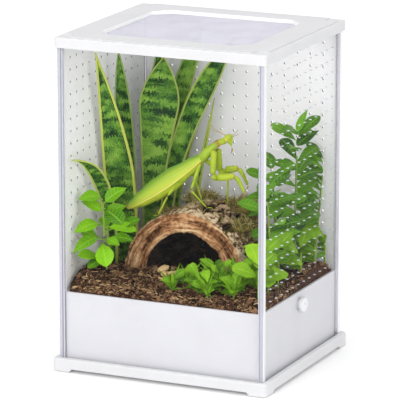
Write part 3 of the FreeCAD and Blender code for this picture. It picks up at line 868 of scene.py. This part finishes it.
makePlant("leftBush", "left_bush", bushShape)
makePlant("rightTallPlant", "right_tall_plant", tallShape)
makePlant("rightLowPlant", "right_low_plant", lowShape)
makePlant("groundCover", "ground_cover", coverShape, grassShape)

# banded snake plant

snakeRows = [  # foot, bend, tip, width, form as belly, foot width, rise and fall, tint, pale margin
    ((-79, 12), (-73, -6, 170), (-85, -38, 277), 27, (0.45, 0.8, 1.0, 1.45), 0.45, 1.0),
    ((-80, 26), (-80, 14, 180), (-81, 0, 273), 16, (0.5, 0.75, 1.0, 2.6), 0.25, 0.2),
    ((-74, 60), (-73, 58, 170), (-67, 55, 270), 18, (0.6, 0.55, 1.2, 2.2), 0.15, 0.2),
    ((-68, 38), (-66, 38, 170), (-54, 38, 262), 36, (0.76, 0.42, 2.0, 1.9), 0.62, 0.4),
    ((-58, 72), (-82, 73, 172), (-31, 70, 284), 16, (0.75, 0.5, 1.3, 2.2), 0.72, 0.35),
    ((-60, 53), (-70, 55, 172), (8, 55, 282), 20, (0.72, 0.5, 1.2, 2.2), 0.42, 0.5),
    ((-54, 64), (-66, 66, 140), (-26, 66, 215), 9, (0.5, 0.5, 1.0, 1.6), 0.5, 0.5),
    ((-82, -10), (-73, -26, 180), (-90, -76, 188), 14, (0.55, 0.5, 1.0, 1.8), 0.35, 0.7),
    ((-50, 70), (-36, 70, 141), (-18, 68, 222), 5, (0.5, 0.5, 1.0, 1.6), 0.7, 0.7)]
snakeLeaf = {"cells": (16, 44), "foot": 64, "turn": 24, "hollow": 0.3, "thick": 1.3}


def snakeMaterial():
    look = Look("snakeSkin", (0.08, 0.22, 0.06), 0.4, Specular_IOR_Level=0.14)
    tint, edge, pale = (look.attribute(key) for key in ("tint", "edge", "pale"))
    jag = look.noise(look.mapped(look.uv, (15, 44, 1)), 1, 3, 0.6)
    shift = look.node("ShaderNodeCombineXYZ")
    look.link(look.times(look.math("SUBTRACT", jag, 0.5), 3.2), shift.inputs["Y"])
    look.link(look.times(tint, 9.0), shift.inputs["Z"])
    flow = look.node("ShaderNodeVectorMath", operation="ADD")
    look.link(look.mapped(look.uv, (1.3, 42, 1)), flow.inputs[0])
    look.link(shift.outputs[0], flow.inputs[1])
    band = look.noise(flow.outputs[0], 1, 2, 0.5, 0.1)
    speck = look.noise(look.mapped(look.uv, (26, 150, 1)), 1, 3, 0.6)
    mixed = look.weigh(band, 0.74, speck, 0.26)
    mixed = look.math("ADD", mixed, look.times(look.math("SUBTRACT", tint, 0.5), 0.16))
    skin = look.ramp(mixed, [(0.38, (0.01, 0.04, 0.01)), (0.45, (0.035, 0.115, 0.02)),
                             (0.53, (0.12, 0.29, 0.028)), (0.63, (0.28, 0.49, 0.07))])
    inset = look.math("SUBTRACT", look.math("ADD", edge, look.times(speck, 0.6)), pale)
    rim = look.span(inset, 0.9, 1.3, 1, 0)
    margin = look.blend(pale, (0.22, 0.36, 0.1), (0.58, 0.62, 0.12))
    look.paint(look.blend(rim, skin, margin))
    look.bump(mixed, 0.25, 0.0006)
    return look.material


def snakeFill(share, belly, foot, rise, fall):
    if share < belly:
        return foot + (1 - foot) * (share / belly) ** rise
    return max(0.03, 1 - ((share - belly) / (1 - belly)) ** fall)


def makeSnakePlant():
    turn = math.radians(snakeLeaf["turn"])
    across = Vector((math.cos(turn), math.sin(turn), 0))
    pattern = addGrid("snakeLeaf", *snakeLeaf["cells"])
    giveMaterial(pattern, snakeMaterial())
    leaves = []
    for i, ((x, y), bend, tip, width, form, tint, pale) in enumerate(snakeRows):
        spine = bowed(at(x, y, snakeLeaf["foot"]), at(*bend), at(*tip))
        leaf = copyPiece(pattern, "leaf")
        edge = leaf.data.attributes.new("edge", "FLOAT", "POINT")
        for v in leaf.data.vertices:
            share, side = v.co.y + 0.5, 2 * v.co.x
            run = (spine(min(share + 0.02, 1)) - spine(max(share - 0.02, 0))).normalized()
            level = (across - run * across.dot(run)).normalized()
            face = level.cross(run)
            half = width * mm / 2 * snakeFill(share, *form)
            ripple = half * 0.07 * math.sin(share * 17 + i * 2) * side
            margin = 1.4 - 0.8 * share  # thins to the tip
            edge.data[v.index].value = (1 - abs(side)) * half / mm / margin
            sink = half * snakeLeaf["hollow"] * (1 - side * side) + ripple
            v.co = spine(share) + level * (side * half) - face * sink
        tintPiece(leaf, tint)
        leaves.append(tintPiece(leaf, pale, "pale"))
    bpy.data.objects.remove(pattern)
    plant = joinPieces(leaves, "snakePlant")
    useModifier(plant, "SOLIDIFY", thickness=snakeLeaf["thick"] * mm, offset=0)
    smoothShade(plant, 60)
    finishPiece(plant, "enclosure", "snake_plant")


makeSnakePlant()

# mantis

mantis = {
    "tail": (-61, -24, 136), "chest": (2, -5, 183), "neck": (16, -1, 198), "head": (25, 0, 200.5),
    "belly": ((0, 0.8), (0.08, 3.8), (0.22, 6.8), (0.42, 9.0), (0.62, 9.3), (0.84, 6.4), (1, 3.8)),
    "feelers": (((0, 1, 4), (-4, -1, 6), (-15.5, -5, 11)), ((0, -1, 4), (-4, -3, 7), (-14, -7, 14)),
                ((2, 0.5, 3.5), (5, 2, 5), (8.5, 3, 10)), ((2, -0.5, 3.5), (6, 0, 4.5), (10.5, 1, 7))),
    "grasp": (((14, -5, 193), (15, -9, 170), (20, -10, 169), (37, -10, 172), (47, -12, 157)),
              ((15, 2, 193), (15, 6, 171), (20, 8, 172), (32, 8, 175), (41, 8, 160))),
    "walk": (((2, -6, 182), (-4, -14, 156), (8, -6)), ((3, -1, 182), (20, 12, 166), (18, 16)),
             ((-12, -12, 170), (-24, -20, 150), (-34, -19)), ((-8, -5, 172), (-14, 14, 162), (-4, 10)))}


def mantisMaterial(name, dark, light, tip):
    look = Look(name, light, 0.4, Specular_IOR_Level=0.25)
    streak = look.noise(look.mapped(look.uv, (40, 3, 1)), 1, 3)
    mixed = look.weigh(look.noise(look.place, 90, 4), 0.55, streak, 0.45)
    skin = look.ramp(mixed, [(0.35, dark), (0.62, light)])
    ends = look.span(look.fromMiddle(look.split(look.uv)["Y"]), 0.38, 0.5)
    look.paint(look.blend(look.times(ends, 0.8), skin, tip))
    look.bump(streak, 0.2, 0.0004)
    return look.material


def wingMaterial():
    look = Look("wingCover", (0.3, 0.5, 0.04), 0.36, Specular_IOR_Level=0.25)
    spot = look.split(look.uv)
    aside = look.fromMiddle(spot["X"])
    vein = look.noise(look.mapped(look.uv, (34, 2, 1)), 1, 4, 0.6)
    skin = look.ramp(look.weigh(vein, 0.5, aside, 1.0),
                     [(0.25, (0.14, 0.31, 0.035)), (0.48, (0.32, 0.48, 0.04)), (0.78, (0.58, 0.62, 0.06))])
    skin = look.blend(look.span(aside, 0.455, 0.47), skin, (0.72, 0.66, 0.14))
    look.paint(look.blend(look.span(spot["Y"], 0.0, 0.05, 1, 0), skin, (0.5, 0.32, 0.05)))
    look.bump(vein, 0.3, 0.0004)
    return look.material


def makeMantis():
    skin = mantisMaterial("mantisSkin", (0.23, 0.36, 0.012), (0.5, 0.6, 0.04), (0.5, 0.36, 0.05))
    shield = mantisMaterial("mantisShield", (0.15, 0.3, 0.02), (0.38, 0.52, 0.035), (0.4, 0.24, 0.05))
    rust = mantisMaterial("mantisRust", (0.3, 0.15, 0.03), (0.5, 0.32, 0.07), (0.25, 0.1, 0.03))
    eyeSkin = mantisMaterial("mantisEye", (0.36, 0.36, 0.04), (0.58, 0.55, 0.08), (0.3, 0.2, 0.03))
    tail, chest, neck, head = (at(*mantis[key]) for key in ("tail", "chest", "neck", "head"))
    parts = []

    def add(piece, material):
        giveMaterial(piece, material)
        parts.append(smoothShade(piece, 60))

    def limb(material, name, spine, girth, *cells):
        add(rollTube(name, spine, girth, *cells), material)

    def slim(first, last, tip=0.12):
        return taper(first * mm, last * mm, tip)

    def belly(v):
        stops = mantis["belly"]
        for (a, ra), (b, rb) in zip(stops, stops[1:]):
            if v <= b:
                k = (v - a) / (b - a)
                k = k * k * (3 - 2 * k)
                return (ra + (rb - ra) * k) * mm
        return stops[-1][1] * mm

    sag = bowed(tail, (tail + chest) / 2 + at(0, 0, -3), chest)
    limb(skin, "abdomen", sag, lambda v: belly(v) * 0.98, 14, 26, 0.98)

    cover = addGrid("wingCover", 26, 30)
    run = (chest - tail).normalized()
    side = run.cross(Vector((0, 0, 1))).normalized()
    over = side.cross(run)

    def drape(u, v):
        turn = math.radians(-14 + 208 * u)
        girth = belly(v) + 0.5 * mm
        lift = 0.9 * mm if abs(u - 0.5) < 0.03 else 0
        return sag(v) + side * (math.cos(turn) * girth) + over * (math.sin(turn) * girth * 0.97 + lift)

    placeGrid(cover, drape)
    useModifier(cover, "SOLIDIFY", thickness=0.4 * mm, offset=0)
    add(cover, wingMaterial())

    def neckShield(v):
        return (4.4 + 1.6 * math.sin(math.pi * min(1, v * 1.25)) ** 2 - 1.0 * v) * mm

    nape = bowed(chest - (neck - chest) * 0.15, (chest + neck) / 2 + at(-0.5, 0, 1), neck)
    limb(shield, "pronotum", nape, neckShield, 10, 14, 0.85)
    band = straight(neck + at(-2.5, 0, -2.4), neck + at(2.2, 0.2, 1.6))
    limb(rust, "collar", band, slim(3.5, 3.0, 0.3), 9, 6)
    limb(skin, "neck", straight(neck, head + at(-1, 0, 0.5)), slim(2.7, 3.1, 0.3), 8, 6)

    def face(v):
        return (6.6 * math.sin(math.pi * min(1, v * 1.15) ** 0.62) * (1 - 0.45 * v) + 0.25) * mm

    brow, mouth = head + at(-1.4, 0, 5.2), head + at(4.6, -0.4, -6.6)
    limb(skin, "head", bowed(brow, head + at(2.6, 0, 1), mouth), face, 12, 14, 0.62, Vector((1, 0, 0.2)))
    chin = bowed(mouth + at(-0.4, 0, 0.8), mouth + at(0.8, -0.3, -1.5), mouth + at(-0.8, -0.8, -4.2))
    limb(rust, "palp", chin, slim(0.8, 0.35), 6, 6)
    for sign in (1, -1):
        spot = head + at(1.0, 4.3 * sign, 2.0)
        limb(eyeSkin, "eye", straight(spot + at(-0.9, 0.2 * sign, 2.1), spot + at(0.9, 0, -2.1)),
             lambda v: 2.2 * mm * math.sqrt(max(0.0, 1 - (2 * v - 1) ** 2)), 10, 9)
    for row in mantis["feelers"]:
        curve = bowed(*(head + at(*point) for point in row))
        limb(rust, "feeler", curve, lambda v: (0.3 - 0.14 * v) * mm, 4, 9)

    upright = straight(Vector((0, 0, 0)), Vector((0, 0, 1)))
    spine = rollTube("spine", upright, lambda v: 0.22 * (1 - 0.9 * v), 3, 2)
    giveMaterial(spine, rust)

    def spines(start, end, count, lean):
        lean = Vector(lean).normalized()
        aside = lean.orthogonal().normalized()
        across = lean.cross(lean.orthogonal()).normalized()
        for i in range(count):
            root = start + (end - start) * ((i + 0.8) / (count + 0.6))
            thorn = copyPiece(spine, "thorn")
            for v in thorn.data.vertices:
                p = v.co * (1.9 * mm)
                v.co = root + lean * p.z + aside * p.x + across * p.y
            parts.append(thorn)

    thigh = slim(3.3, 2.3, 0.14)
    for row in mantis["grasp"]:
        p = [at(*point) for point in row]
        hinge = bowed(p[1] + at(-0.4, 0, 0.6), p[1] + at(1.5, 0, -2), p[2])
        limb(skin, "coxa", straight(p[0], p[1]), slim(3.1, 2.7, 0.15), 8, 10)
        limb(skin, "trochanter", hinge, slim(2.7, 2.9, 0.2), 8, 8)
        limb(skin, "femur", straight(p[2] - (p[3] - p[2]) * 0.05, p[3]),
             lambda v: thigh(v) * (1 + 0.15 * math.sin(math.pi * v)), 9, 14)
        limb(skin, "tibia", bowed(p[3], (p[3] + p[4]) / 2 + at(1.2, 0, 1), p[4]), slim(2.2, 1.1), 8, 12)
        limb(rust, "tarsus", bowed(p[4], p[4] + at(0.5, 0, -2), p[4] + at(-2, 0, -4)), slim(0.7, 0.3), 5, 6)
        spines(p[2] + at(0, 0, -1.6), p[3] + at(0, 0, -1.2), 7, (0.2, 0, -1))
        spines(p[3] + at(-0.8, 0, -0.6), p[4] + at(-0.4, 0, -0.4), 8, (-0.8, 0, -0.6))
    bpy.data.objects.remove(spine)

    for hip, knee, (x, y) in mantis["walk"]:
        hip, knee = at(*hip), at(*knee)
        foot = Vector((x * mm, y * mm, topOf("bark_hide", x * mm, y * mm, 0.13) + 0.9 * mm))
        flat = Vector((foot.x - knee.x, foot.y - knee.y, 0)).normalized() * (5 * mm)
        toe = bowed(foot, foot + flat * 0.5 + at(0, 0, 0.4), foot + flat + at(0, 0, -0.4))
        limb(skin, "thigh", straight(hip, knee), slim(2.1, 1.2, 0.08), 7, 10)
        limb(skin, "shin", straight(knee + (knee - foot) * 0.02, foot), slim(1.15, 0.7, 0.08), 6, 10)
        limb(skin, "toe", toe, slim(0.55, 0.3), 5, 5)
    whole = joinPieces(parts, "mantis")
    finishPiece(whole, "enclosure", "mantis_figure")


makeMantis()

# camera and light

viewAngle = {"azimuth": 24.383, "elevation": 13.698, "distance": 3.08516,
             "aside": -0.001449, "height": 0.144563, "sensor": 36, "lens": 314}


def setCamera():
    a, e = math.radians(viewAngle["azimuth"]), math.radians(viewAngle["elevation"])
    back = Vector((math.sin(a) * math.cos(e), -math.cos(a) * math.cos(e), math.sin(e)))
    right = Vector((math.cos(a), math.sin(a), 0))
    camera = addItem("photoCamera", bpy.ops.object.camera_add)
    aim = right * viewAngle["aside"] + Vector((0, 0, viewAngle["height"]))
    camera.location = aim + back * viewAngle["distance"]
    camera.rotation_euler = (-back).to_track_quat("-Z", "Y").to_euler()
    camera.data.sensor_width = viewAngle["sensor"]
    camera.data.lens = viewAngle["lens"]
    camera.data.clip_end = 100
    bpy.context.scene.camera = camera


def addSoftbox(name, place, aim, size, power):
    lamp = addItem(name, bpy.ops.object.light_add, type="AREA", location=place)
    lamp.data.size = size
    lamp.data.energy = power
    lamp.rotation_euler = (Vector(aim) - Vector(place)).to_track_quat("-Z", "Y").to_euler()


paperStage = {"size": 12, "drop": -0.3, "white": (0.94, 0.94, 0.94), "sky": 0.63,
              "glow": (0.13, 0.5, 0.1, 0.36)}  # near, far, and the light lent to the paper there


def setStage():
    floor = addItem("floor", bpy.ops.mesh.primitive_plane_add, size=paperStage["size"],
                    location=at(0, 0, paperStage["drop"]))
    look = Look("floorPaper", paperStage["white"], 0.9, Emission_Color=(1, 1, 1, 1))
    ray = look.node("ShaderNodeLightPath")
    spread = look.node("ShaderNodeVectorMath", operation="LENGTH")
    look.link(look.place, spread.inputs[0])
    glow = look.span(spread.outputs["Value"], *paperStage["glow"])
    lift = look.times(ray.outputs["Is Camera Ray"], glow)
    look.link(lift, look.shader.inputs["Emission Strength"])
    giveMaterial(floor, look.material)

    world = bpy.data.worlds.new("studio")
    bpy.context.scene.world = world
    world.use_nodes = True
    tree = world.node_tree
    sky = tree.nodes["Background"]
    sky.inputs["Color"].default_value = (1, 1, 1, 1)
    sky.inputs["Strength"].default_value = paperStage["sky"]
    paper = tree.nodes.new("ShaderNodeBackground")
    paper.inputs["Color"].default_value = (1, 1, 1, 1)
    ray = tree.nodes.new("ShaderNodeLightPath")
    either = tree.nodes.new("ShaderNodeMath")
    either.operation = "MAXIMUM"
    tree.links.new(ray.outputs["Is Camera Ray"], either.inputs[0])
    tree.links.new(ray.outputs["Is Transmission Ray"], either.inputs[1])
    swap = tree.nodes.new("ShaderNodeMixShader")
    tree.links.new(either.outputs[0], swap.inputs[0])
    tree.links.new(sky.outputs[0], swap.inputs[1])
    tree.links.new(paper.outputs[0], swap.inputs[2])
    tree.links.new(swap.outputs[0], tree.nodes["World Output"].inputs[0])


softboxes = {"keyLight": ((-0.7, -1.9, 1.5), (0, 0, 0.15), 1.3, 17),  # place, aim, size and power
             "frontFill": ((0.5, -2.3, 0.5), (0, 0, 0.15), 1.6, 15.5),
             "sideFill": ((2.2, -0.5, 0.7), (0, 0, 0.15), 1.2, 11.5),
             "topLight": ((0.2, 0.1, 2.2), (0, 0, 0), 1.2, 13.5)}

setCamera()
setStage()
for name, row in softboxes.items():
    addSoftbox(name, *row)
bpy.context.scene.view_settings.view_transform = "Standard"
print("camera and light set")
